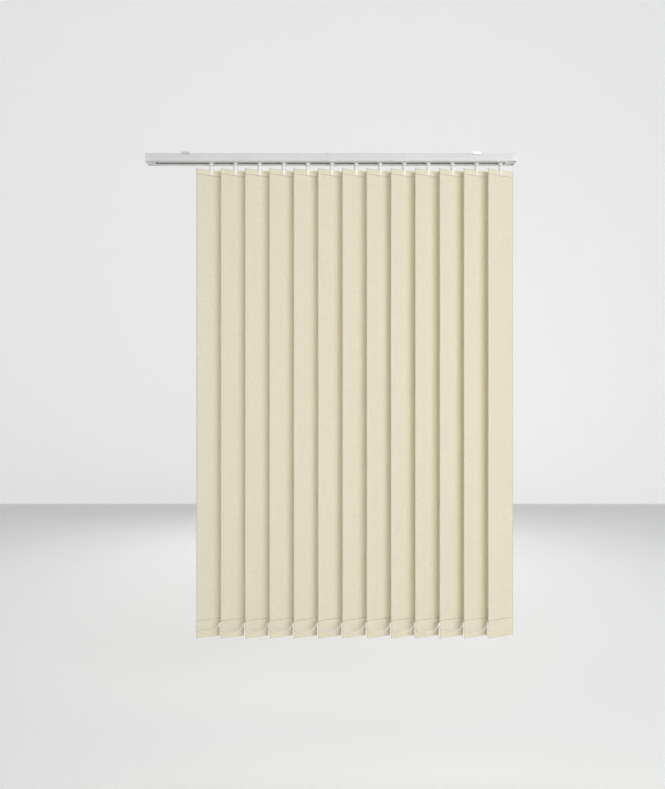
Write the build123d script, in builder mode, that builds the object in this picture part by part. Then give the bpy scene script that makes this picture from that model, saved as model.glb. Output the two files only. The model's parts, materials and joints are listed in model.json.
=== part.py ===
from build123d import *
from math import atan2, cos, pi, radians, sin, tan
import os

os.makedirs("parts", exist_ok=True)

# Sizes are in millimetres and angles in degrees. X runs along the headrail, Y away from
# the room and Z up. The origin is in the soffit face, over the middle of the headrail.

# Headrail
rail_length = 1100.0  # over both end caps
rail_depth = 40.0
rail_height = 22.0
rail_wall = 1.2
rail_corner = 1.5
lip_reach = 2.0  # lips along the top edges, which the brackets grip
lip_height = 2.0
slot_width = 14.0
bead_radius = 1.1  # moulding line along the front face
bead_drop = 8.6
fascia_thickness = 0.6  # thicker upper band of the front face

# Top brackets
bracket_places = (-430.0, 0.0, 430.0)
bracket_width = 24.0
bracket_plate = 1.5
screw_space = 2.5  # room for the screw heads, between bracket and rail
screw_hole_radius = 2.25
screw_spacing = 24.0
claw_reach = 1.8
lever_reach = 6.0

# End caps
cap_plate = 3.0
idler_plug = 22.0
control_housing = 14.0
control_plug = 16.0
housing_wall = 2.0
housing_side_wall = 2.5
partition_y = -2.5
outlet_width = 9.0
plug_gap = 0.15
shelf_thickness = 2.0
bearing_length = 4.5

# Tilt rod and what turns on it
rod_radius = 3.0
rod_core_radius = 2.2
rod_lobe_width = 1.7
rod_y = 8.5
rod_drop = 10.5  # below the top of the rail
rod_inset = 2.0  # from the idler cap's plate to the end of the rod
journal_length = 3.0
journal_relief = 0.1
bearing_gap = 0.1
sprocket_radius = 7.5
sprocket_width = 6.0
sprocket_pockets = 9
pocket_radius = 1.8

# Pulleys for the traverse cord
pulley_radius = 3.8
pulley_groove = 1.0
pulley_flange = 1.4
axle_radius = 1.3
pulley_y = -11.5
cord_drop = 11.0  # below the top of the rail
cord_radius = 0.8

# Carriers
louvre_count = 13
louvre_pitch = 72.0
last_carrier_x = 507.0
truck_length = 15.0
truck_width = 34.0
truck_shoulder = 4.0  # from the top of the rail down to the top of the truck
truck_corner = 1.5
glide_gap = 0.2
collar_radius = 6.1
collar_length = 9.8  # below the rail
wheel_radius = 5.0
wheel_clearance = 0.8
rod_gap = 0.4
wheel_height = 5.0
wheel_teeth = 12
tooth_depth = 0.9
tooth_gap = 1.2
stem_radius = 2.5

# Spacer strips, which lie in lanes side by side on the trucks
strip_width = 3.6
strip_thickness = 0.5
strip_lift = 0.3
strip_overlap = 7.0  # past the middle of the next truck
strip_tail = 5.0
strip_boss_radius = 1.4
lane_count = 6
lane_pitch = 5.0
seat_gap = 0.1

# Hooks
hub_across = 12.0
hub_gap = 0.4
hub_height = 8.5
hub_chamfer = 0.8
leg_width = 6.5
leg_thickness = 1.2
leg_corner = 1.5
leg_drop = 16.5  # front leg, below the top of the louvre
rear_leg_drop = 9.0
leg_gap = 0.3
barb_width = 4.6
barb_height = 2.6
barb_drop = 7.0

# Louvres
louvre_width = 89.0
louvre_length = 1394.0
louvre_top_gap = 1.1  # between hook hub and cloth
tilt_at_rest = 21.0  # between louvre and rail
cloth = 0.5
top_pocket = 18.0
hem = 54.0
weld_height = 1.5
weld_taper = 2.0
pocket_gap = 0.1
layer_gap = 0.05  # half the space between the layers at a weld

# Hangers, in the top pockets
hanger_width = 84.0
hanger_height = 13.0
hanger_thickness = 1.2
hanger_corner = 3.0
hanger_headroom = 0.6
barb_gap = 0.5

# Bottom weights, in the hems
weight_height = 46.0
weight_thickness = 1.6
weight_gap = 1.0  # between the weight and the fold below it
weight_corner = 2.0
weight_overhang = 3.0  # beyond each edge of the cloth
clip_reach = 3.0
clip_forward = 1.7
clip_radius = 1.0
clip_drop = 2.0  # below the top of the weight
clip_above = 1.5
clip_below = 0.8
clip_arm = 1.2

# Bottom chain: each span runs from one clip to the next, and hangs down between them
chain_diameter = 3.2
chain_route = (
    (1.4, -1.5),
    (7.5, -12.0),
    (18.5, -20.0),
    (34.0, -23.0),
    (48.5, -19.5),
    (61.5, -11.0),
    (70.5, -1.5),
)
bend_share = 0.45  # of the shorter run beside each bend

# Levels and places that follow from the sizes
rail_top = -(bracket_plate + screw_space)
rail_bottom = rail_top - rail_height
rail_floor = rail_bottom + rail_wall
rail_ceiling = rail_top - rail_wall
rail_left = -rail_length / 2 + cap_plate
rail_right = rail_length / 2 - control_housing
inner_half = rail_depth / 2 - rail_wall
rod_z = rail_top - rod_drop
truck_top = rail_top - truck_shoulder
truck_bottom = rail_floor + glide_gap
wheel_top = rod_z + wheel_height / 2
wheel_bottom = rod_z - wheel_height / 2
collar_bottom = rail_bottom - collar_length
hub_top = collar_bottom - hub_gap
hub_bottom = hub_top - hub_height
louvre_top = hub_bottom - louvre_top_gap
louvre_bottom = louvre_top - louvre_length
weight_bottom = louvre_bottom + cloth + weight_gap
weight_top = weight_bottom + weight_height
clip_x = -(louvre_width / 2 + weight_overhang + clip_reach)
clip_y = -clip_forward
clip_z = weight_top - clip_drop
hanger_top = louvre_top - cloth - hanger_headroom
hanger_middle = hanger_top - hanger_height / 2
barb_z = louvre_top - barb_drop
top_half = hanger_thickness / 2 + pocket_gap + cloth
hem_half = weight_thickness / 2 + pocket_gap + cloth
top_weld = louvre_top - top_pocket
hem_weld = louvre_bottom + hem
leg_inside = top_half + leg_gap


upright = (Align.CENTER, Align.CENTER, Align.MIN)
hanging = (Align.CENTER, Align.CENTER, Align.MAX)
from_left = (Align.MIN, Align.CENTER, Align.MAX)
mid_left = (Align.MIN, Align.CENTER, Align.CENTER)


def carrier_x(number):
    return last_carrier_x - (louvre_count - number) * louvre_pitch


def lane_y(number):
    return ((number - 1) % lane_count - (lane_count - 1) / 2) * lane_pitch


def finish(part, name):
    part.label = name
    export_step(part, f"parts/{name}.step")


# Outline of the headrail and of both end caps
with BuildSketch() as rail_outline:
    with Locations((0, rail_top - rail_height / 2)):
        Rectangle(rail_depth, rail_height)
    fillet(rail_outline.vertices().sort_by(Axis.Y)[:2], rail_corner)
    with Locations((0, rail_top - lip_height / 2)):
        Rectangle(rail_depth + 2 * lip_reach, lip_height)
    with Locations((-rail_depth / 2, rail_top)):
        Rectangle(fascia_thickness, bead_drop, align=(Align.MAX, Align.MAX))
    with Locations((-rail_depth / 2, rail_top - bead_drop)):
        Circle(bead_radius)

# Headrail: a channel with a slot below and lips above
with BuildPart() as headrail:
    with BuildSketch(Plane.YZ.offset(rail_left)):
        add(rail_outline.sketch)
        with Locations((0, rail_ceiling)):
            Rectangle(
                2 * inner_half,
                rail_height - 2 * rail_wall,
                align=(Align.CENTER, Align.MAX),
                mode=Mode.SUBTRACT,
            )
        with Locations((0, rail_bottom)):
            Rectangle(slot_width, 3 * rail_wall, mode=Mode.SUBTRACT)
    extrude(amount=rail_right - rail_left)
finish(headrail.part, "headrail")


# Top brackets: a plate with two claws that grip the rail's lips, and a release lever
claw_outside = rail_depth / 2 + lip_reach + claw_reach
claw_inside = claw_outside - bracket_plate
claw_tip = rail_depth / 2 + fascia_thickness + seat_gap
claw_top = rail_top - lip_height - seat_gap
claw_bottom = claw_top - bracket_plate
with BuildPart() as bracket:
    with BuildSketch(Plane.YZ.offset(-bracket_width / 2)):
        with BuildLine():
            Polyline(
                (-claw_outside, 0),
                (claw_outside, 0),
                (claw_outside, claw_top),
                (claw_outside + lever_reach, claw_top),
                (claw_outside + lever_reach, claw_bottom),
                (claw_tip, claw_bottom),
                (claw_tip, claw_top),
                (claw_inside, claw_top),
                (claw_inside, -bracket_plate),
                (-claw_inside, -bracket_plate),
                (-claw_inside, claw_top),
                (-claw_tip, claw_top),
                (-claw_tip, claw_bottom),
                (-claw_outside, claw_bottom),
                close=True,
            )
        make_face()
    extrude(amount=bracket_width)
    with Locations((0, -screw_spacing / 2, 0), (0, screw_spacing / 2, 0)):
        Cylinder(screw_hole_radius, 3 * bracket_plate, mode=Mode.SUBTRACT)

with BuildPart() as top_brackets:
    with Locations([(place, 0, 0) for place in bracket_places]):
        add(bracket)
finish(top_brackets.part, "top_brackets")


# Tilt rod: a round core with three lobes, and plain journals at its ends
rod_left = rail_left + rod_inset
rod_right = rail_length / 2 - housing_wall / 2
lobes_left = rod_left + journal_length
lobes_right = rail_right - 1.0
journal_radius = rod_radius - journal_relief
with BuildPart() as tilt_rod:
    with BuildSketch(Plane.YZ.offset(lobes_left)):
        with Locations((rod_y, rod_z)):
            Circle(rod_core_radius)
            with PolarLocations(0, 3, start_angle=90):
                Rectangle(rod_radius, rod_lobe_width, align=(Align.MIN, Align.CENTER))
            Circle(rod_radius, mode=Mode.INTERSECT)
    extrude(amount=lobes_right - lobes_left)
    with BuildSketch(Plane.YZ.offset(rod_left)):
        with Locations((rod_y, rod_z)):
            Circle(journal_radius)
    extrude(amount=journal_length)
    with BuildSketch(Plane.YZ.offset(lobes_right)):
        with Locations((rod_y, rod_z)):
            Circle(journal_radius)
    extrude(amount=rod_right - lobes_right)
finish(tilt_rod.part, "tilt_rod")


# Tilt sprocket: a wheel on the rod with a pocket for each bead of the tilt chain
housing_middle = (rail_right + rail_length / 2) / 2
with BuildPart() as tilt_sprocket:
    with BuildSketch(Plane.YZ.offset(housing_middle - sprocket_width / 2)):
        with Locations((rod_y, rod_z)):
            Circle(sprocket_radius)
            Circle(journal_radius + journal_relief / 2, mode=Mode.SUBTRACT)
    extrude(amount=sprocket_width)
    with Locations(Location((housing_middle, rod_y, rod_z), (0, 90, 0))):
        with PolarLocations(sprocket_radius, sprocket_pockets):
            Sphere(pocket_radius, mode=Mode.SUBTRACT)
finish(tilt_sprocket.part, "tilt_sprocket")


# Cord pulley: two grooves side by side turn the traverse cord down, out of the rail.
# The idler pulley has one groove: it lies flat and returns the cord at the far end.
cord_z = rail_top - cord_drop
cord_offset = pulley_radius - pulley_groove + cord_radius
cord_pulley_z = cord_z - cord_offset
double_half = cord_offset + pulley_flange
with BuildPart() as cord_pulley:
    with Locations(Location((housing_middle, pulley_y, cord_pulley_z), (90, 0, 0))):
        Cylinder(pulley_radius, 2 * double_half)
        Cylinder(axle_radius + bearing_gap, 3 * double_half, mode=Mode.SUBTRACT)
        with Locations((0, 0, -cord_offset), (0, 0, cord_offset)):
            Torus(pulley_radius, pulley_groove, mode=Mode.SUBTRACT)
finish(cord_pulley.part, "cord_pulley")

idler_x = rail_left + idler_plug / 2
with BuildPart() as idler_pulley:
    with Locations((idler_x, pulley_y, cord_z)):
        Cylinder(pulley_radius, 2 * pulley_flange)
        Cylinder(axle_radius + bearing_gap, 3 * pulley_flange, mode=Mode.SUBTRACT)
        Torus(pulley_radius, pulley_groove, mode=Mode.SUBTRACT)
finish(idler_pulley.part, "idler_pulley")


# Idler end cap: an end plate, a plug of two shelves, a pulley axle and a rod bearing
plug_half = inner_half - plug_gap
shelf_top = rail_ceiling - plug_gap
shelf_bottom = rail_floor + plug_gap
bearing_radius = journal_radius + bearing_gap
with BuildPart() as idler_end_cap:
    with BuildSketch(Plane.YZ.offset(-rail_length / 2)):
        add(rail_outline.sketch)
    extrude(amount=cap_plate)
    with Locations(
        (rail_left, 0, shelf_top), (rail_left, 0, shelf_bottom + shelf_thickness)
    ):
        Box(idler_plug, 2 * plug_half, shelf_thickness, align=from_left)
    with Locations((idler_x, pulley_y, shelf_bottom)):
        Cylinder(axle_radius, shelf_top - shelf_bottom, align=upright)
    with Locations((rail_left, rod_y, rod_z)):
        Box(bearing_length, 4 * rod_radius, 4 * rod_radius, align=mid_left)
    with Locations(Location((rod_left - bearing_gap, rod_y, rod_z), (0, 90, 0))):
        Cylinder(bearing_radius, bearing_length, align=upright, mode=Mode.SUBTRACT)
finish(idler_end_cap.part, "idler_end_cap")


# Control end cap: a hollow housing for the sprocket and the cord pulley, with the same
# plug, a bearing for the rod in each wall, and an outlet below each wheel
chamber_left = rail_right + housing_wall
chamber_length = control_housing - 2 * housing_wall
chamber_top = rail_top - housing_side_wall
chamber_bottom = rail_bottom + housing_wall
chamber_half = rail_depth / 2 - housing_side_wall
plug_left = rail_right - control_plug
with BuildPart() as control_end_cap:
    with BuildSketch(Plane.YZ.offset(rail_right)):
        add(rail_outline.sketch)
    extrude(amount=control_housing)
    with Locations((chamber_left, 0, chamber_top)):
        Box(
            chamber_length,
            2 * chamber_half,
            chamber_top - chamber_bottom,
            align=from_left,
            mode=Mode.SUBTRACT,
        )
    with Locations((chamber_left, partition_y, chamber_top)):
        Box(chamber_length, housing_wall, chamber_top - chamber_bottom, align=from_left)
    with Locations(Location((housing_middle, -chamber_half, cord_pulley_z), (-90, 0, 0))):
        Cylinder(axle_radius, chamber_half + partition_y, align=upright)
    with Locations((housing_middle, rod_y, rail_bottom)):
        Box(outlet_width, 2 * sprocket_radius, 3 * housing_wall, mode=Mode.SUBTRACT)
    with Locations((housing_middle, pulley_y, rail_bottom)):
        Box(outlet_width, 2 * double_half, 3 * housing_wall, mode=Mode.SUBTRACT)
    with Locations((rail_right, pulley_y, cord_z)):
        Box(
            3 * housing_wall,
            2 * cord_offset + 2 * pulley_flange,
            2 * pulley_radius,
            mode=Mode.SUBTRACT,
        )
    with Locations(
        (plug_left, 0, shelf_top), (plug_left, 0, shelf_bottom + shelf_thickness)
    ):
        Box(control_plug, 2 * plug_half, shelf_thickness, align=from_left)
    with Locations(Location((rail_right - 1.0, rod_y, rod_z), (0, 90, 0))):
        Cylinder(
            bearing_radius,
            rod_right - rail_right + 1.0 + bearing_gap,
            align=upright,
            mode=Mode.SUBTRACT,
        )
finish(control_end_cap.part, "control_end_cap")


# Truck: a block that runs in the rail, with a collar through the slot, a pocket for the
# worm wheel, bores for the rod, the hook's stem and the cord, and a seat for its strip
with BuildPart() as truck:
    with Locations((0, 0, truck_bottom)):
        Box(truck_length, truck_width, truck_top - truck_bottom, align=upright)
    fillet(truck.edges().filter_by(Axis.Z), truck_corner)
    with Locations((0, 0, collar_bottom)):
        Cylinder(collar_radius, truck_bottom - collar_bottom, align=upright)
        Cylinder(stem_radius + bearing_gap, rod_z - collar_bottom, align=upright, mode=Mode.SUBTRACT)
    with Locations((0, 0, rod_z)):
        Cylinder(
            wheel_radius + wheel_clearance, wheel_height + 2 * glide_gap, mode=Mode.SUBTRACT
        )
    with Locations(Location((0, rod_y, rod_z), (0, 90, 0))):
        Cylinder(rod_radius + rod_gap, 2 * truck_length, mode=Mode.SUBTRACT)
    with Locations(
        Location((0, pulley_y - cord_offset, cord_z), (0, 90, 0)),
        Location((0, pulley_y + cord_offset, cord_z), (0, 90, 0)),
    ):
        Cylinder(cord_radius + bearing_gap, 2 * truck_length, mode=Mode.SUBTRACT)

# Spacer strip: it reaches from its own truck past the middle of the next one, and draws
# that truck along. The lead truck has none.
with BuildPart() as spacer_strip:
    with Locations((strip_tail, 0, truck_top + strip_lift)):
        Box(
            strip_tail + louvre_pitch + strip_overlap,
            strip_width,
            strip_thickness,
            align=(Align.MAX, Align.CENTER, Align.MIN),
        )

for number in range(1, louvre_count + 1):
    with BuildPart() as numbered_truck:
        with Locations((carrier_x(number), 0, 0)):
            add(truck)
        if number > 1:
            with Locations((carrier_x(number), lane_y(number), 0)):
                add(spacer_strip)
            with Locations((carrier_x(number), lane_y(number), truck_top)):
                Cylinder(strip_boss_radius, strip_lift - seat_gap, align=upright)
    finish(numbered_truck.part, f"truck_{number:02d}")


# Hook: a stem with a worm wheel at its top, and an eight-sided hub with two legs. The
# front leg's barb goes through the slots in the cloth and the hanger.
with BuildPart() as hub:
    with BuildSketch(Plane.XY.offset(hub_bottom)):
        RegularPolygon(hub_across / 2, 8, major_radius=False, rotation=180 / 8)
    extrude(amount=hub_height)
    chamfer(hub.edges().group_by(Axis.Z)[0] + hub.edges().group_by(Axis.Z)[-1], hub_chamfer)

with BuildPart() as louvre_fittings:
    with BuildSketch(Plane.XY.offset(wheel_bottom)):
        Circle(wheel_radius)
        with PolarLocations(wheel_radius, wheel_teeth):
            Rectangle(2 * tooth_depth, tooth_gap, mode=Mode.SUBTRACT)
    extrude(amount=wheel_height)
    with Locations((0, 0, hub_top - hub_chamfer)):
        Cylinder(stem_radius, wheel_bottom - hub_top + hub_chamfer, align=upright)
    add(hub)
    with BuildSketch(Plane.XZ.offset(leg_inside)) as front_leg:
        with Locations((0, hub_bottom + hub_chamfer)):
            Rectangle(
                leg_width,
                hub_bottom + hub_chamfer - louvre_top + leg_drop,
                align=(Align.CENTER, Align.MAX),
            )
        fillet(front_leg.vertices().sort_by(Axis.Z)[:2], leg_corner)
    extrude(amount=leg_thickness)
    with BuildSketch(Plane.XZ.offset(-leg_inside - leg_thickness)) as rear_leg:
        with Locations((0, hub_bottom + hub_chamfer)):
            Rectangle(
                leg_width,
                hub_bottom + hub_chamfer - louvre_top + rear_leg_drop,
                align=(Align.CENTER, Align.MAX),
            )
        fillet(rear_leg.vertices().sort_by(Axis.Z)[:2], leg_corner)
    extrude(amount=leg_thickness)
    with Locations((0, -leg_inside, barb_z)):
        Box(
            barb_width,
            2 * leg_inside - seat_gap,
            barb_height,
            align=(Align.CENTER, Align.MIN, Align.CENTER),
        )
    # Hanger: the stiff strip in the louvre's top pocket
    with BuildSketch(Plane.XZ.offset(-hanger_thickness / 2)):
        with Locations((0, hanger_middle)):
            RectangleRounded(hanger_width, hanger_height, hanger_corner)
        with Locations((0, barb_z)):
            Rectangle(barb_width + 2 * barb_gap, barb_height + 2 * barb_gap, mode=Mode.SUBTRACT)
    extrude(amount=hanger_thickness)
    # Bottom weight: a plate that shows beyond both edges of the cloth, with a chain clip
    with BuildSketch(Plane.XZ.offset(-weight_thickness / 2)):
        with Locations((0, (weight_top + weight_bottom) / 2)):
            RectangleRounded(
                louvre_width + 2 * weight_overhang, weight_height, weight_corner
            )
    extrude(amount=weight_thickness)
    with Locations((clip_x, clip_y, clip_z)):
        Box(
            clip_reach + weight_overhang / 2,
            clip_arm,
            clip_arm,
            align=mid_left,
        )
    with Locations((clip_x + clip_reach, clip_y, clip_z)):
        Box(weight_overhang / 2, clip_forward, clip_arm, align=(Align.MIN, Align.MIN, Align.CENTER))
    with Locations((clip_x, clip_y, clip_z - clip_below)):
        Cylinder(clip_radius, clip_below + clip_above, align=upright)

for number in range(1, louvre_count + 1):
    with BuildPart() as numbered_fittings:
        with Locations(Location((carrier_x(number), 0, 0), (0, 0, tilt_at_rest))):
            add(louvre_fittings)
    finish(numbered_fittings.part, f"louvre_fittings_{number:02d}")


# Louvre: one sheet of cloth, folded and welded into a pocket at its top and a hem below
top_taper = top_weld + weld_height
hem_taper = hem_weld - weld_height
with BuildPart() as slat:
    with BuildSketch(Plane.YZ.offset(-louvre_width / 2)):
        with Locations((0, top_weld)):
            Rectangle(cloth, top_weld - hem_weld, align=(Align.CENTER, Align.MAX))
            Rectangle(2 * cloth, weld_height, align=(Align.CENTER, Align.MIN))
        with Locations((0, hem_weld)):
            Rectangle(2 * cloth, weld_height, align=(Align.CENTER, Align.MAX))
        for side, fold_z, weld_z, half, weld_half, mode in (
            (1, louvre_top, top_taper, top_half, cloth, Mode.ADD),
            (1, louvre_top - cloth, top_taper, top_half - cloth, layer_gap, Mode.SUBTRACT),
            (-1, louvre_bottom, hem_taper, hem_half, cloth, Mode.ADD),
            (-1, louvre_bottom + cloth, hem_taper, hem_half - cloth, layer_gap, Mode.SUBTRACT),
        ):
            round_z = fold_z - side * half
            taper_z = weld_z + side * weld_taper
            with BuildLine():
                Polyline(
                    (-half, round_z),
                    (-half, taper_z),
                    (-weld_half, weld_z),
                    (weld_half, weld_z),
                    (half, taper_z),
                    (half, round_z),
                )
                ThreePointArc((half, round_z), (0, fold_z), (-half, round_z))
            make_face(mode=mode)
    extrude(amount=louvre_width)
    with Locations((0, 0, barb_z)):
        Box(
            barb_width + 2 * barb_gap,
            4 * top_half,
            barb_height + 2 * barb_gap,
            mode=Mode.SUBTRACT,
        )

for number in range(1, louvre_count + 1):
    with BuildPart() as numbered_slat:
        with Locations(Location((carrier_x(number), 0, 0), (0, 0, tilt_at_rest))):
            add(slat)
    finish(numbered_slat.part, f"slat_{number:02d}")


def bend_radii(points):
    """The largest even bends that fit a route, each from the shorter run beside it."""
    radii = []
    for before, here, after in zip(points, points[1:], points[2:]):
        run_in = ((here[0] - before[0]) ** 2 + (here[1] - before[1]) ** 2) ** 0.5
        run_out = ((after[0] - here[0]) ** 2 + (after[1] - here[1]) ** 2) ** 0.5
        turn = atan2(after[1] - here[1], after[0] - here[0])
        turn -= atan2(here[1] - before[1], here[0] - before[0])
        radii.append(bend_share * min(run_in, run_out) / tan(abs(turn) / 2))
    return radii


# Bottom chain: a span hangs from the clip of each louvre to the clip of the next
with BuildPart() as chain:
    with BuildLine(Plane.XZ) as chain_line:
        FilletPolyline(*chain_route, radius=bend_radii(chain_route))
    chain_path = chain_line.wire()
    with BuildSketch(Plane(chain_path @ 0, z_dir=chain_path % 0)):
        Circle(chain_diameter / 2)
    sweep(path=chain_path)
print("chain bend radii", [round(radius, 2) for radius in bend_radii(chain_route)])
print("chain length", round(chain_path.length, 2))
print("chain volume", chain.part.volume, "section by length", pi * chain_diameter**2 / 4 * chain_path.length)

tilt = radians(tilt_at_rest)
clip_from_axis_x = clip_x * cos(tilt) - clip_y * sin(tilt)
clip_from_axis_y = clip_x * sin(tilt) + clip_y * cos(tilt)
for number in range(1, louvre_count):
    with BuildPart() as numbered_chain:
        with Locations((carrier_x(number) + clip_from_axis_x, clip_from_axis_y, clip_z)):
            add(chain)
    finish(numbered_chain.part, f"chain_{number:02d}")
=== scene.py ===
import json
from math import cos, pi, radians, sin

import bmesh
import bpy
from mathutils import Matrix, Vector


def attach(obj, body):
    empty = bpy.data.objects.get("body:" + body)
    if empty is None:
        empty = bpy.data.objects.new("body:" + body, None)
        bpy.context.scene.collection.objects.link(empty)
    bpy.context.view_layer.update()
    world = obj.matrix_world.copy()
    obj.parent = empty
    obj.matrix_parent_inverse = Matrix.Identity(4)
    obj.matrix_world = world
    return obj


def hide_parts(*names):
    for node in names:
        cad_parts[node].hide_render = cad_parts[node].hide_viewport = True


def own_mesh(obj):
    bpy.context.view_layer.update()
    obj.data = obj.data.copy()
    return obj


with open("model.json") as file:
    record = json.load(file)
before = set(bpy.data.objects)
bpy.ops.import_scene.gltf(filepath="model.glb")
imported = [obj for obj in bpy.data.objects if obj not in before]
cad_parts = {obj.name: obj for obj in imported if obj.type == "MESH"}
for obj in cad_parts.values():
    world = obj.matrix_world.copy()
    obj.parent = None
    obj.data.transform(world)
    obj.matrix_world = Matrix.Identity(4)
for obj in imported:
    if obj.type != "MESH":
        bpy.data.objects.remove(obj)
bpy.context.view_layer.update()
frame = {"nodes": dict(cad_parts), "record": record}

# Sizes in metres. X runs along the headrail, Y away from the room and Z up.
LOUVRES = 13
PITCH = 0.072
LAST_X = 0.507
WIDTH = 0.089
TILT = radians(21)
CLOTH = 0.0005
TOP = -0.0458
BOTTOM = -1.4398
TOP_WELD = TOP - 0.018
HEM_WELD = BOTTOM + 0.054
TOP_HALF = 0.0012
HEM_HALF = 0.0014
WELD_HEIGHT = 0.0015
WELD_TAPER = 0.002
BARB_Z = TOP - 0.007
SLOT_HALF_WIDTH = 0.0028
SLOT_HALF_HEIGHT = 0.0018
CLIP = (-0.0505, -0.0017)
CLIP_Z = -1.3943
CHAIN_DIAMETER = 0.0032
CHAIN_ROUTE = (
    (0.0006, -0.0018, -0.0032),
    (0.0045, -0.0052, -0.0105),
    (0.0175, -0.0056, -0.0200),
    (0.0360, -0.0057, -0.0224),
    (0.0545, -0.0057, -0.0200),
    (0.0675, -0.0062, -0.0105),
    (0.0714, -0.0018, -0.0032),
)
BEAD_PITCH = 0.0036
EYE_RADIUS = 0.00111
EYE_WIRE = 0.00013
LINK_RADIUS = 0.0003
EYE_STEPS = 20
EYE_SIDES = 8
THREAD_SIDES = 6
BEAD_SEGMENTS = 12
BEAD_RINGS = 8
EYE_LIFT = 0.0005
THREAD_RADIUS = 0.0005


def carrier_x(number):
    return LAST_X - (LOUVRES - number) * PITCH


def turned(x, y):
    """A point of a louvre, turned with it about its hook."""
    return x * cos(TILT) - y * sin(TILT), x * sin(TILT) + y * cos(TILT)


# Camera
camera_data = bpy.data.cameras.new("camera")
camera_data.lens = 27.49
camera_data.sensor_width = 36
camera_data.shift_x = 0.0019
camera_data.shift_y = 0.0095
camera = bpy.data.objects.new("camera", camera_data)
camera.location = (0, -1.8, -0.7387)
camera.rotation_euler = (pi / 2, 0, 0)
bpy.context.scene.collection.objects.link(camera)
bpy.context.scene.camera = camera


# Materials
def new_material(name, colour, roughness, metallic=0.0):
    material = bpy.data.materials.new(name)
    material.use_nodes = True
    shader = material.node_tree.nodes["Principled BSDF"]
    shader.inputs["Base Color"].default_value = (*colour, 1)
    shader.inputs["Roughness"].default_value = roughness
    shader.inputs["Metallic"].default_value = metallic
    return material, material.node_tree, shader


def coordinates(tree, output, scale):
    """Texture coordinates of one kind, stretched by a scale."""
    source = tree.nodes.new("ShaderNodeTexCoord")
    mapping = tree.nodes.new("ShaderNodeMapping")
    mapping.inputs["Scale"].default_value = scale
    tree.links.new(source.outputs[output], mapping.inputs["Vector"])
    return mapping.outputs["Vector"]


def noise(tree, vector, scale, detail=3.0, roughness=0.5):
    node = tree.nodes.new("ShaderNodeTexNoise")
    node.inputs["Scale"].default_value = scale
    node.inputs["Detail"].default_value = detail
    node.inputs["Roughness"].default_value = roughness
    tree.links.new(vector, node.inputs["Vector"])
    return node.outputs["Fac"]


def waves(tree, vector, direction, period, distortion):
    node = tree.nodes.new("ShaderNodeTexWave")
    node.wave_type = "BANDS"
    node.bands_direction = direction
    node.inputs["Scale"].default_value = 2 * pi / (20 * period)
    node.inputs["Distortion"].default_value = distortion
    node.inputs["Detail"].default_value = 1.0
    tree.links.new(vector, node.inputs["Vector"])
    return node.outputs["Fac"]


def math(tree, operation, first, second, third=None):
    node = tree.nodes.new("ShaderNodeMath")
    node.operation = operation
    for socket, value in zip(node.inputs, (first, second, third)):
        if value is None:
            continue
        if isinstance(value, (int, float)):
            socket.default_value = value
        else:
            tree.links.new(value, socket)
    return node.outputs["Value"]


def ramp(tree, factor, low, high):
    """Zero below low, one above high, and a smooth rise between them."""
    node = tree.nodes.new("ShaderNodeMapRange")
    node.interpolation_type = "SMOOTHSTEP"
    node.inputs["From Min"].default_value = low
    node.inputs["From Max"].default_value = high
    tree.links.new(factor, node.inputs["Value"])
    return node.outputs["Result"]


def mix(tree, factor, first, second):
    node = tree.nodes.new("ShaderNodeMix")
    node.data_type = "RGBA"
    tree.links.new(factor, node.inputs["Factor"])
    for name, value in (("A", first), ("B", second)):
        socket = [s for s in node.inputs if s.name == name and s.type == "RGBA"][0]
        if isinstance(value, tuple):
            socket.default_value = (*value, 1)
        else:
            tree.links.new(value, socket)
    return [s for s in node.outputs if s.type == "RGBA"][0]


def bump(tree, shader, height, strength, distance):
    node = tree.nodes.new("ShaderNodeBump")
    node.inputs["Strength"].default_value = strength
    node.inputs["Distance"].default_value = distance
    tree.links.new(height, node.inputs["Height"])
    tree.links.new(node.outputs["Normal"], shader.inputs["Normal"])


def powder_coat_painted_shade():
    material, tree, shader = new_material("powder_coat_painted_shade", (0.84, 0.84, 0.82), 0.42)
    grain = coordinates(tree, "Object", (1, 1, 1))
    fine = noise(tree, grain, 1400, 2)
    cloud = noise(tree, grain, 9, 2)
    # Painted shade: both greys sit below the rail's own white, standing in for the shade a recess casts
    # on the rail; the cloud between them is random tone.
    colour = mix(tree, ramp(tree, cloud, 0.35, 0.7), (0.76, 0.76, 0.755), (0.73, 0.73, 0.72))
    tree.links.new(colour, shader.inputs["Base Color"])
    tree.links.new(ramp(tree, fine, -0.9, 2.2), shader.inputs["Roughness"])
    bump(tree, shader, fine, 0.12, 0.0002)
    return material


def moulded_plastic(name, colour, shade, roughness):
    material, tree, shader = new_material(name, colour, roughness)
    grain = coordinates(tree, "Object", (1, 1, 1))
    fine = noise(tree, grain, 2600, 2)
    cloud = noise(tree, grain, 40, 2)
    tree.links.new(mix(tree, ramp(tree, cloud, 0.4, 0.7), colour, shade), shader.inputs["Base Color"])
    tree.links.new(
        math(tree, "MULTIPLY_ADD", fine, 0.16, roughness - 0.08), shader.inputs["Roughness"]
    )
    bump(tree, shader, fine, 0.06, 0.0001)
    return material


def brushed_metal(name, colour, shade, roughness, along):
    material, tree, shader = new_material(name, colour, roughness, 1.0)
    streaks = noise(tree, coordinates(tree, "Object", along), 60, 4, 0.6)
    cloud = noise(tree, coordinates(tree, "Object", (1, 1, 1)), 70, 3)
    tree.links.new(mix(tree, ramp(tree, cloud, 0.35, 0.65), colour, shade), shader.inputs["Base Color"])
    tree.links.new(
        math(tree, "MULTIPLY_ADD", streaks, 0.3, roughness - 0.15), shader.inputs["Roughness"]
    )
    bump(tree, shader, streaks, 0.15, 0.0001)
    return material


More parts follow.
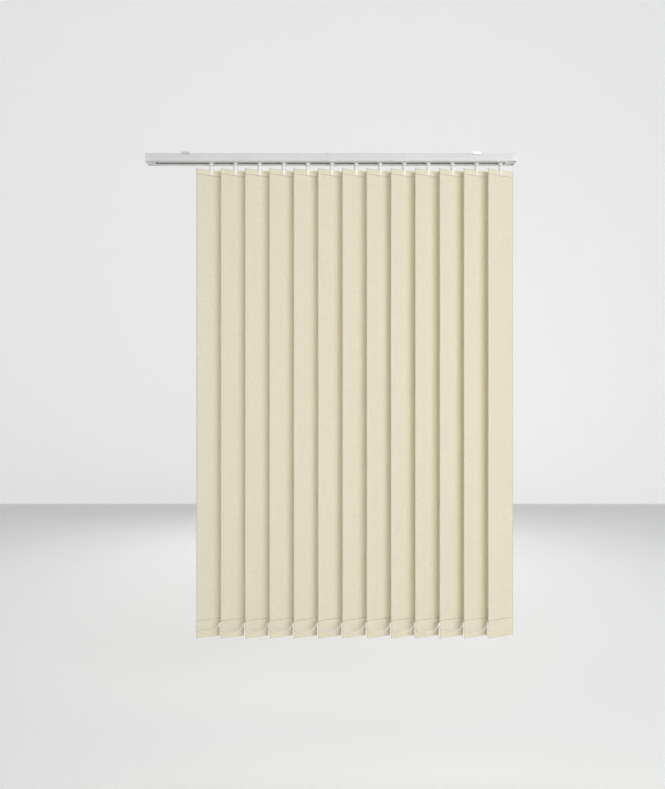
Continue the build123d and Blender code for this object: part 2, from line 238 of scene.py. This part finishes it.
def woven_cloth():
    """Stiffened linen: fine threads both ways, uneven slubs across and a faint mottle."""
    material, tree, shader = new_material("woven_cloth", (0.80, 0.76, 0.64), 0.85)
    flat = coordinates(tree, "UV", (1, 1, 1))
    warp = waves(tree, flat, "X", 0.0008, 1.2)
    weft = waves(tree, flat, "Y", 0.0007, 1.6)
    threads = math(tree, "ADD", warp, weft)
    slubs = noise(tree, coordinates(tree, "UV", (14, 700, 1)), 1, 3, 0.6)
    streaks = noise(tree, coordinates(tree, "UV", (260, 5, 1)), 1, 2)
    mottle = noise(tree, flat, 90, 4, 0.65)
    cloud = noise(tree, flat, 7, 2)
    pale = mix(tree, ramp(tree, mottle, 0.3, 0.7), (0.85, 0.80, 0.63), (0.80, 0.75, 0.58))
    warm = mix(tree, ramp(tree, cloud, 0.35, 0.7), pale, (0.83, 0.77, 0.60))
    slubbed = mix(tree, ramp(tree, slubs, 0.55, 0.78), warm, (0.74, 0.685, 0.52))
    streaked = mix(tree, ramp(tree, streaks, 0.6, 0.85), slubbed, (0.77, 0.715, 0.545))
    gaps = mix(tree, ramp(tree, threads, 0.15, 0.7), (0.68, 0.63, 0.48), streaked)
    # The weld presses the layers together in a line a little darker than the cloth
    height = tree.nodes.new("ShaderNodeSeparateXYZ")
    tree.links.new(coordinates(tree, "Object", (1, 1, 1)), height.inputs["Vector"])
    welds = None
    for level in (TOP_WELD + WELD_HEIGHT / 2, HEM_WELD - WELD_HEIGHT / 2):
        away = math(tree, "ABSOLUTE", math(tree, "SUBTRACT", height.outputs["Z"], level), 0)
        line = math(tree, "SUBTRACT", 1, ramp(tree, away, 0.0006, 0.0011))
        welds = line if welds is None else math(tree, "MAXIMUM", welds, line)
    tree.links.new(mix(tree, welds, gaps, (0.58, 0.54, 0.41)), shader.inputs["Base Color"])
    relief = math(tree, "MULTIPLY_ADD", slubs, 1.4, threads)
    pressed = math(tree, "MULTIPLY_ADD", welds, -3.0, relief)
    bump(tree, shader, pressed, 0.35, 0.00025)
    shader.inputs["Sheen Weight"].default_value = 0.08
    shader.inputs["Specular IOR Level"].default_value = 0.25
    return material


coat = powder_coat_painted_shade()
steel = brushed_metal("zinc_steel", (0.62, 0.63, 0.64), (0.52, 0.53, 0.55), 0.34, (1, 9, 1))
aluminium = brushed_metal("drawn_aluminium", (0.80, 0.81, 0.82), (0.72, 0.73, 0.74), 0.3, (0.05, 6, 6))
cap_plastic = moulded_plastic("cap_plastic", (0.84, 0.84, 0.82), (0.81, 0.81, 0.79), 0.34)
inner_plastic = moulded_plastic("inner_plastic", (0.80, 0.80, 0.77), (0.76, 0.76, 0.73), 0.45)
hook_plastic = moulded_plastic("hook_plastic", (0.92, 0.92, 0.89), (0.89, 0.89, 0.86), 0.28)
chain_plastic = moulded_plastic("chain_plastic", (0.93, 0.91, 0.82), (0.90, 0.88, 0.78), 0.32)
cloth = woven_cloth()

finishes = {
    "rail": coat,
    "bracket": steel,
    "cap": cap_plastic,
    "rod": aluminium,
    "mechanism": inner_plastic,
    "hook": hook_plastic,
    "cloth": cloth,
    "chain": chain_plastic,
}
slot_of = {part["node"]: part["material_slot"] for part in frame["record"]["subparts"]}
for name, node in frame["nodes"].items():
    for material_slot in node.material_slots:
        material_slot.material = finishes[slot_of[name]]


def new_object(name, mesh, material, body):
    mesh.materials.append(material)
    piece = bpy.data.objects.new(name, mesh)
    bpy.context.scene.collection.objects.link(piece)
    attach(piece, body)
    return piece


# Louvres: one strip of cloth each, folded over the hanger above and the weight below
def fold(fold_z, side, half, steps):
    """Centre line of the cloth round a fold, from the back to the front."""
    reach = half - CLOTH / 2
    middle = fold_z - side * half
    return [
        (reach * cos(pi * i / steps), middle + side * reach * sin(pi * i / steps))
        for i in range(steps + 1)
    ]


def louvre_line():
    """Centre line of the cloth from its edge behind the top pocket to the one behind the hem."""
    top_reach = TOP_HALF - CLOTH / 2
    hem_reach = HEM_HALF - CLOTH / 2
    top_taper = TOP_WELD + WELD_HEIGHT
    hem_taper = HEM_WELD - WELD_HEIGHT
    slot_levels = (BARB_Z - SLOT_HALF_HEIGHT, BARB_Z + SLOT_HALF_HEIGHT)
    line = [(CLOTH, TOP_WELD), (CLOTH, top_taper), (top_reach, top_taper + WELD_TAPER)]
    line += [(top_reach, z) for z in slot_levels]
    line += fold(TOP, 1, TOP_HALF, FOLD_STEPS)
    line += [(-top_reach, z) for z in reversed(slot_levels)]
    line += [(-top_reach, top_taper + WELD_TAPER), (0, top_taper), (0, TOP_WELD)]
    drop = HEM_WELD - TOP_WELD
    line += [(0, TOP_WELD + drop * i / CLOTH_ROWS) for i in range(1, CLOTH_ROWS)]
    line += [(0, HEM_WELD), (0, hem_taper), (-hem_reach, hem_taper - WELD_TAPER)]
    line += [(-hem_reach, hem_taper - WELD_TAPER - HEM_STEP * i) for i in range(1, 4)]
    line += reversed(fold(BOTTOM, -1, HEM_HALF, FOLD_STEPS))
    line += [(hem_reach, hem_taper - WELD_TAPER - HEM_STEP * i) for i in range(3, 0, -1)]
    line += [(hem_reach, hem_taper - WELD_TAPER), (CLOTH, hem_taper), (CLOTH, HEM_WELD)]
    return line


FOLD_STEPS = 6
CLOTH_ROWS = 44
HEM_STEP = 0.012
BOW = 0.0007
WAVE = 0.0004
CURL = 0.0006
COLUMNS = (-0.0445, -0.040, -0.032, -0.024, -0.016, -0.009, -0.0028)
COLUMNS += tuple(-x for x in reversed(COLUMNS))


def sway(number, x, z):
    """How far the cloth bows out of its plane between the hanger and the weight."""
    share = (TOP_WELD - z) / (TOP_WELD - HEM_WELD)
    if not 0 < share < 1:
        return 0
    hold = sin(pi * share)
    bow = BOW * sin(2.1 * number + 1)
    wave = WAVE * sin(2 * pi * (1.6 * share + 0.31 * number))
    curl = CURL * (2 * x / WIDTH) ** 2 * sin(1.3 * number + 2)
    return hold * (bow + wave + curl)


def louvre(number):
    mesh = bpy.data.meshes.new(f"louvre_{number:02d}")
    shape = bmesh.new()
    uv = shape.loops.layers.uv.new("UVMap")
    line = louvre_line()
    travelled = [0.0]
    for before, here in zip(line, line[1:]):
        travelled.append(travelled[-1] + (Vector(here) - Vector(before)).length)
    rows = []
    for y, z in line:
        row = []
        for x in COLUMNS:
            world_x, world_y = turned(x, y + sway(number, x, z))
            row.append(shape.verts.new((carrier_x(number) + world_x, world_y, z)))
        rows.append(row)
    for i in range(len(rows) - 1):
        y, z = line[i]
        next_z = line[i + 1][1]
        in_slot = abs((z + next_z) / 2 - BARB_Z) < 0.0001
        for j in range(len(COLUMNS) - 1):
            if in_slot and abs(COLUMNS[j] + COLUMNS[j + 1]) < 0.0001:
                continue
            face = shape.faces.new((rows[i][j], rows[i + 1][j], rows[i + 1][j + 1], rows[i][j + 1]))
            face.smooth = True
            corners = ((i, j), (i + 1, j), (i + 1, j + 1), (i, j + 1))
            for loop, (row, column) in zip(face.loops, corners):
                loop[uv].uv = (COLUMNS[column] + 0.37 * number, travelled[row])
    shape.to_mesh(mesh)
    shape.free()
    piece = new_object(f"louvre_cloth_{number:02d}", mesh, cloth, f"louvre_{number:02d}")
    thickness = piece.modifiers.new("thickness", "SOLIDIFY")
    thickness.thickness = CLOTH
    thickness.offset = 0
    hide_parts(f"slat_{number:02d}")


for number in range(1, LOUVRES + 1):
    louvre(number)


# Bottom chain: beads on a thread, along the smooth line of each span's route. It bows
# towards the room, so that it passes in front of the next hem when the louvres turn.
def span_line(number):
    clip_x, clip_y = turned(*CLIP)
    points = [
        (carrier_x(number) + clip_x + along, clip_y + out, CLIP_Z + up)
        for along, out, up in CHAIN_ROUTE
    ]
    data = bpy.data.curves.new("route", "CURVE")
    data.dimensions = "3D"
    spline = data.splines.new("NURBS")
    spline.points.add(len(points) - 1)
    for spline_point, point in zip(spline.points, points):
        spline_point.co = (*point, 1)
    spline.order_u = 3
    spline.use_endpoint_u = True
    data.resolution_u = 12
    carrier = bpy.data.objects.new("route", data)
    mesh = bpy.data.meshes.new_from_object(carrier)
    line = [vertex.co.copy() for vertex in mesh.vertices]
    bpy.data.objects.remove(carrier)
    bpy.data.curves.remove(data)
    bpy.data.meshes.remove(mesh)
    return line


def at_distance(line, distance):
    """The point of a line, and its direction, at a distance from its start."""
    for before, here in zip(line, line[1:]):
        step = (here - before).length
        if distance <= step:
            return before.lerp(here, distance / step), (here - before).normalized()
        distance -= step
    return line[-1].copy(), (line[-1] - line[-2]).normalized()


def add_tube(shape, line, radius, sides):
    rings = []
    for i, point in enumerate(line):
        direction = (line[min(i + 1, len(line) - 1)] - line[max(i - 1, 0)]).normalized()
        across = Vector((0, 1, 0))
        up = direction.cross(across).normalized()
        rings.append(
            [
                shape.verts.new(
                    point
                    + radius * cos(2 * pi * k / sides) * across
                    + radius * sin(2 * pi * k / sides) * up
                )
                for k in range(sides)
            ]
        )
    for ring, following in zip(rings, rings[1:]):
        for k in range(sides):
            shape.faces.new((ring[k], ring[(k + 1) % sides], following[(k + 1) % sides], following[k]))
    shape.faces.new(rings[0])
    shape.faces.new(reversed(rings[-1]))


def chain_eyes(number):
    """The loops round a clip's pin: one for the span that starts there, one for the other."""
    clip_x, clip_y = turned(*CLIP)
    lifts = [EYE_LIFT] if number < LOUVRES else []
    lifts += [-EYE_LIFT] if number > 1 else []
    shape = bmesh.new()
    for lift in lifts:
        centre = Vector((carrier_x(number) + clip_x, clip_y, CLIP_Z + lift))
        angles = [2 * pi * k / EYE_STEPS for k in range(EYE_STEPS + 1)]
        loop = [centre + EYE_RADIUS * Vector((cos(angle), sin(angle), 0)) for angle in angles]
        add_tube(shape, loop, EYE_WIRE, EYE_SIDES)
    for face in shape.faces:
        face.smooth = True
    mesh = bpy.data.meshes.new(f"chain_eyes_{number:02d}")
    shape.to_mesh(mesh)
    shape.free()
    new_object(f"chain_eyes_{number:02d}", mesh, chain_plastic, f"louvre_{number:02d}")


def chain_span(number):
    line = span_line(number)
    length = sum((here - before).length for before, here in zip(line, line[1:]))
    shape = bmesh.new()
    add_tube(shape, line, THREAD_RADIUS, THREAD_SIDES)
    clip_x, clip_y = turned(*CLIP)
    for along, lift, bead in ((0, EYE_LIFT, line[0]), (PITCH, -EYE_LIFT, line[-1])):
        eye_x = carrier_x(number) + clip_x + along
        eye = Vector((eye_x, clip_y - EYE_RADIUS, CLIP_Z + lift))
        add_tube(shape, [eye, bead], LINK_RADIUS, THREAD_SIDES)
    beads = round((length - CHAIN_DIAMETER) / BEAD_PITCH)
    for k in range(beads + 1):
        distance = CHAIN_DIAMETER / 2 + (length - CHAIN_DIAMETER) * k / beads
        point, direction = at_distance(line, distance)
        turn = direction.to_track_quat("Z", "Y").to_matrix().to_4x4()
        bmesh.ops.create_uvsphere(
            shape,
            u_segments=BEAD_SEGMENTS,
            v_segments=BEAD_RINGS,
            radius=CHAIN_DIAMETER / 2,
            matrix=Matrix.Translation(point) @ turn,
        )
    for face in shape.faces:
        face.smooth = True
    mesh = bpy.data.meshes.new(f"chain_{number:02d}")
    shape.to_mesh(mesh)
    shape.free()
    piece = new_object(f"bead_chain_{number:02d}", mesh, chain_plastic, f"span_{number:02d}")
    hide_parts(f"chain_{number:02d}")
    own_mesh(piece)


for number in range(1, LOUVRES):
    chain_span(number)
for number in range(1, LOUVRES + 1):
    chain_eyes(number)


# Floor, backdrop and light
SKY_LIGHT = 0.34
SKY_SEEN = 0.9


def seen_rays(tree):
    """One for rays from the camera, a gloss or a glass, and zero for the rays that light."""
    rays = tree.nodes.new("ShaderNodeLightPath")
    seen = math(tree, "MAXIMUM", rays.outputs["Is Camera Ray"], rays.outputs["Is Glossy Ray"])
    return math(tree, "MAXIMUM", seen, rays.outputs["Is Transmission Ray"])


def stage_piece(name, corners, colour, glow):
    """A flat pale piece, with a glow that only the camera, gloss and glass see."""
    mesh = bpy.data.meshes.new(name)
    mesh.from_pydata(corners, [], [tuple(range(len(corners)))])
    material, tree, shader = new_material(name, colour, 0.9)
    grain = noise(tree, coordinates(tree, "Object", (1, 1, 1)), 3, 2)
    shade = tuple(0.97 * channel for channel in colour)
    tree.links.new(mix(tree, grain, colour, shade), shader.inputs["Base Color"])
    shader.inputs["Emission Color"].default_value = (1, 1, 1, 1)
    glow_seen = math(tree, "MULTIPLY", seen_rays(tree), glow)
    tree.links.new(glow_seen, shader.inputs["Emission Strength"])
    mesh.materials.append(material)
    piece = bpy.data.objects.new(name, mesh)
    bpy.context.scene.collection.objects.link(piece)


FLOOR_Z = -1.72
WALL_Y = 4.0
WALL_TOP = 7
STAGE_SIDE = 9
STAGE_COLOUR = (0.86, 0.86, 0.85)
FLOOR_GLOW = 0.2
WALL_GLOW = 0.4
wall_foot = [(-STAGE_SIDE, WALL_Y, FLOOR_Z), (STAGE_SIDE, WALL_Y, FLOOR_Z)]
floor_front = [(-STAGE_SIDE, -STAGE_SIDE, FLOOR_Z), (STAGE_SIDE, -STAGE_SIDE, FLOOR_Z)]
wall_head = [(STAGE_SIDE, WALL_Y, WALL_TOP), (-STAGE_SIDE, WALL_Y, WALL_TOP)]
stage_piece("floor", floor_front + wall_foot[::-1], STAGE_COLOUR, FLOOR_GLOW)
stage_piece("backdrop", wall_foot + wall_head, STAGE_COLOUR, WALL_GLOW)


def area_light(name, location, target, width, height, power):
    data = bpy.data.lights.new(name, "AREA")
    data.shape = "RECTANGLE"
    data.size = width
    data.size_y = height
    data.energy = power
    light = bpy.data.objects.new(name, data)
    light.visible_camera = False
    light.location = location
    light.rotation_euler = (Vector(target) - Vector(location)).to_track_quat("-Z", "Y").to_euler()
    bpy.context.scene.collection.objects.link(light)


area_light("key", (1.7, -3.2, -0.1), (0, 0, -0.75), 3.4, 2.6, 73)
area_light("fill", (0.2, -3.0, -1.2), (0, 0, -0.1), 3.0, 0.8, 11)
area_light("rear", (0, 2.7, 0.5), (0, 0, -0.7), 2.6, 2.0, 38)
world = bpy.data.worlds.new("world")
world.use_nodes = True
background = world.node_tree.nodes["Background"]
background.inputs["Color"].default_value = (0.97, 0.98, 1.0, 1)
seen = seen_rays(world.node_tree)
strength = math(world.node_tree, "MULTIPLY_ADD", seen, SKY_SEEN - SKY_LIGHT, SKY_LIGHT)
world.node_tree.links.new(strength, background.inputs["Strength"])
bpy.context.scene.world = world
bpy.context.scene.view_settings.view_transform = "Standard"
